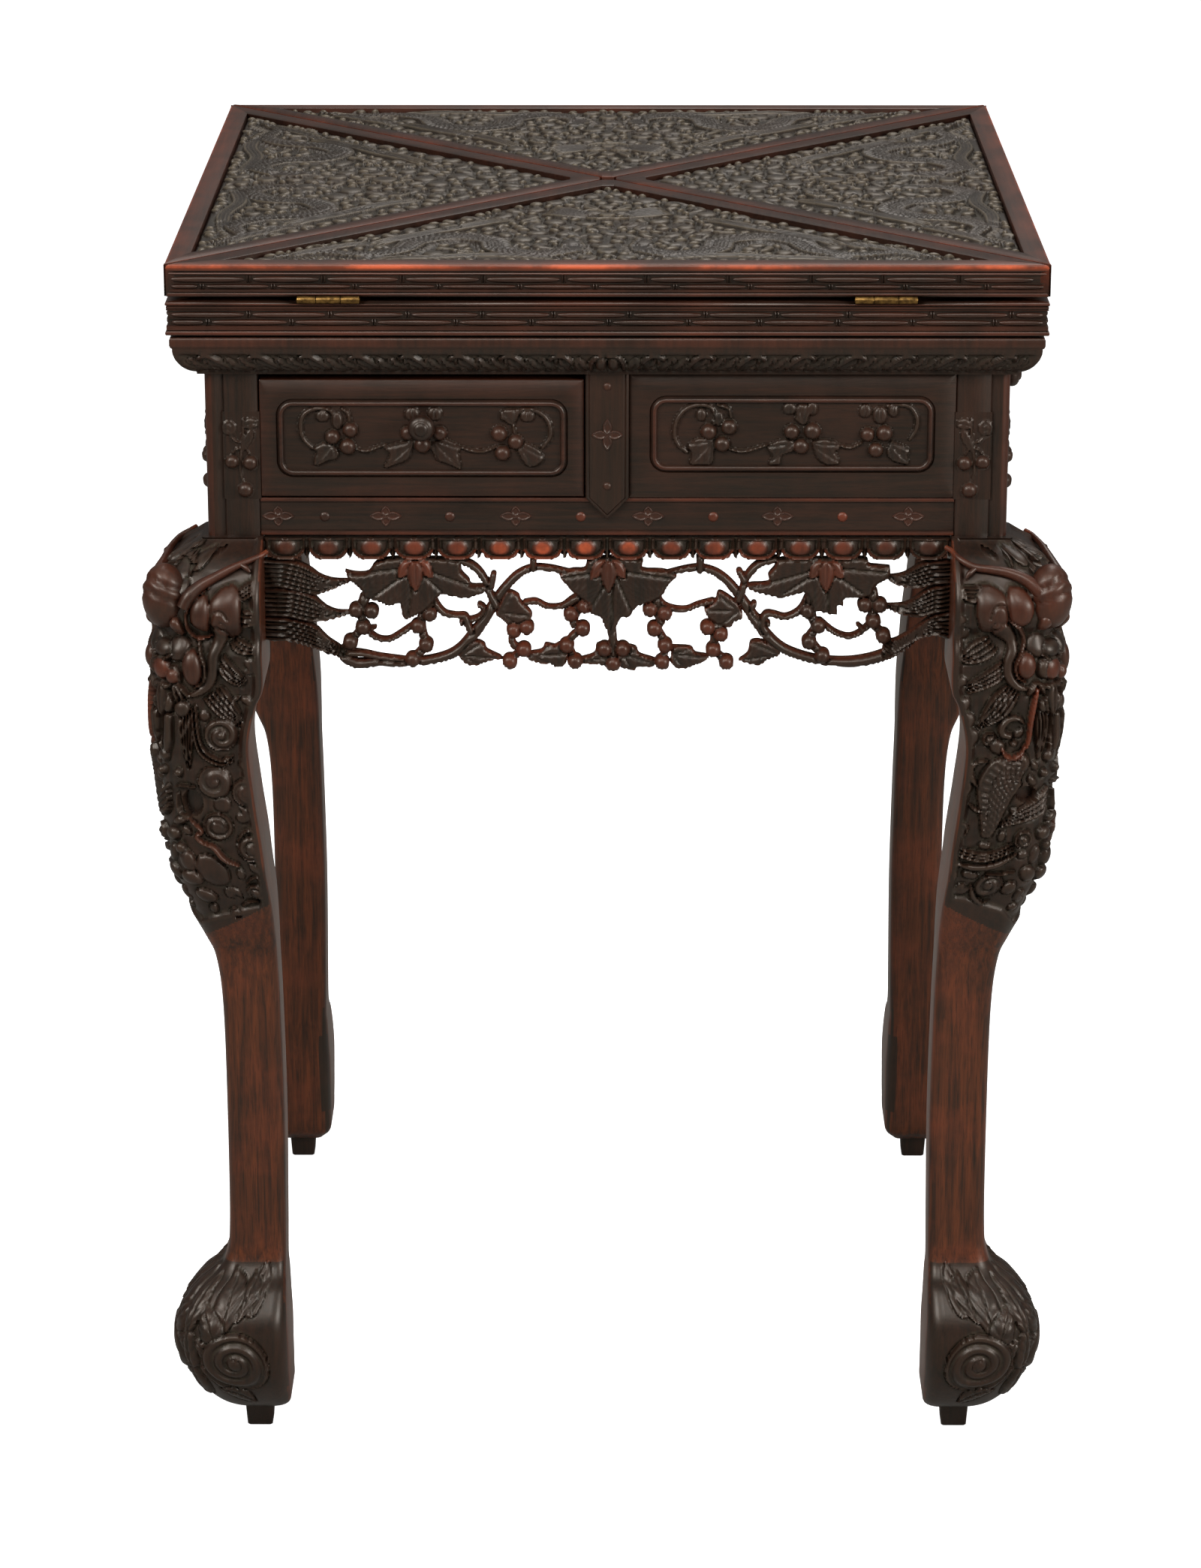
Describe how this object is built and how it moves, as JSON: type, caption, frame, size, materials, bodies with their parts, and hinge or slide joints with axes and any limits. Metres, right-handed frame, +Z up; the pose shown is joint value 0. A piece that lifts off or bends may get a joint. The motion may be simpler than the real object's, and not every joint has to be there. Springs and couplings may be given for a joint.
{
  "type": "games table",
  "caption": "Square games table: carved cabriole legs, pierced aprons, a pinwheel of side drawers and a swivelling top covered by hinged triangular leaves.",
  "frame": {"origin": "on the floor under the middle of the table", "axes": "+Z up, the front faces -Y and +X is to the right as seen from the front"},
  "size_m": [0.5806, 0.5806, 0.793],
  "materials": {
    "ebonised_hardwood": "carved hardwood, ebonised and rubbed back to reddish brown at the edges, waxed",
    "plain_hardwood": "plain hardwood, unfinished inside the case",
    "aged_brass": "aged",
    "dull_steel": "dull",
    "waxed_leather": "waxed",
    "green_baize": "napped wool baize"
  },
  "bodies": {
    "stand": {"leg_front_left": "ebonised_hardwood", "leg_front_right": "ebonised_hardwood", "leg_back_right": "ebonised_hardwood", "leg_back_left": "ebonised_hardwood", "apron_front": "ebonised_hardwood", "apron_right": "ebonised_hardwood", "apron_back": "ebonised_hardwood", "apron_left": "ebonised_hardwood", "case_side_front": "ebonised_hardwood", "case_side_right": "ebonised_hardwood", "case_side_back": "ebonised_hardwood", "case_side_left": "ebonised_hardwood", "cornice": "ebonised_hardwood", "case_top": "plain_hardwood", "case_bottom": "plain_hardwood", "partition_across": "plain_hardwood", "partition_along": "plain_hardwood", "swivel_washer": "waxed_leather"},
    "bed": {"bed_frame": "ebonised_hardwood", "bed_panel": "plain_hardwood", "pivot_bolt": "dull_steel", "pivot_washer": "dull_steel", "pivot_nut": "dull_steel", "stop_pin": "dull_steel", "bed_hinge_front_left": "aged_brass", "bed_hinge_front_right": "aged_brass", "bed_hinge_right_left": "aged_brass", "bed_hinge_right_right": "aged_brass", "bed_hinge_back_left": "aged_brass", "bed_hinge_back_right": "aged_brass", "bed_hinge_left_left": "aged_brass", "bed_hinge_left_right": "aged_brass"},
    "leaf_front": {"leaf_frame_front": "ebonised_hardwood", "leaf_panel_front": "ebonised_hardwood", "leaf_hinge_front_left": "aged_brass", "leaf_hinge_front_right": "aged_brass"},
    "leaf_right": {"leaf_frame_right": "ebonised_hardwood", "leaf_panel_right": "ebonised_hardwood", "leaf_hinge_right_left": "aged_brass", "leaf_hinge_right_right": "aged_brass"},
    "leaf_back": {"leaf_frame_back": "ebonised_hardwood", "leaf_panel_back": "ebonised_hardwood", "leaf_hinge_back_left": "aged_brass", "leaf_hinge_back_right": "aged_brass"},
    "leaf_left": {"leaf_frame_left": "ebonised_hardwood", "leaf_panel_left": "ebonised_hardwood", "leaf_hinge_left_left": "aged_brass", "leaf_hinge_left_right": "aged_brass"},
    "drawer_front": {"drawer_face_front": "ebonised_hardwood", "drawer_box_front": "plain_hardwood", "drawer_knob_front": "ebonised_hardwood"},
    "drawer_right": {"drawer_face_right": "ebonised_hardwood", "drawer_box_right": "plain_hardwood", "drawer_knob_right": "ebonised_hardwood"},
    "drawer_back": {"drawer_face_back": "ebonised_hardwood", "drawer_box_back": "plain_hardwood", "drawer_knob_back": "ebonised_hardwood"},
    "drawer_left": {"drawer_face_left": "ebonised_hardwood", "drawer_box_left": "plain_hardwood", "drawer_knob_left": "ebonised_hardwood"}
  },
  "joints": [
    {"name": "top_swivel", "type": "hinge", "parent": "stand", "child": "bed", "pos_m": [0, 0, 0.7484], "axis": [0, 0, 1], "range_deg": [0, 45]},
    {"name": "leaf_front_fold", "type": "hinge", "parent": "bed", "child": "leaf_front", "pos_m": [0, -0.2706, 0.771], "axis": [1, 0, 0], "range_deg": [0, 180]},
    {"name": "leaf_right_fold", "type": "hinge", "parent": "bed", "child": "leaf_right", "pos_m": [0.2706, 0, 0.771], "axis": [0, 1, 0], "range_deg": [0, 180]},
    {"name": "leaf_back_fold", "type": "hinge", "parent": "bed", "child": "leaf_back", "pos_m": [0, 0.2706, 0.771], "axis": [-1, 0, 0], "range_deg": [0, 180]},
    {"name": "leaf_left_fold", "type": "hinge", "parent": "bed", "child": "leaf_left", "pos_m": [-0.2706, 0, 0.771], "axis": [0, -1, 0], "range_deg": [0, 180]},
    {"name": "drawer_front_slide", "type": "slide", "parent": "stand", "child": "drawer_front", "axis": [0, -1, 0], "range_m": [0, 0.155]},
    {"name": "drawer_right_slide", "type": "slide", "parent": "stand", "child": "drawer_right", "axis": [1, 0, 0], "range_m": [0, 0.155]},
    {"name": "drawer_back_slide", "type": "slide", "parent": "stand", "child": "drawer_back", "axis": [0, 1, 0], "range_m": [0, 0.155]},
    {"name": "drawer_left_slide", "type": "slide", "parent": "stand", "child": "drawer_left", "axis": [-1, 0, 0], "range_m": [0, 0.155]}
  ]
}
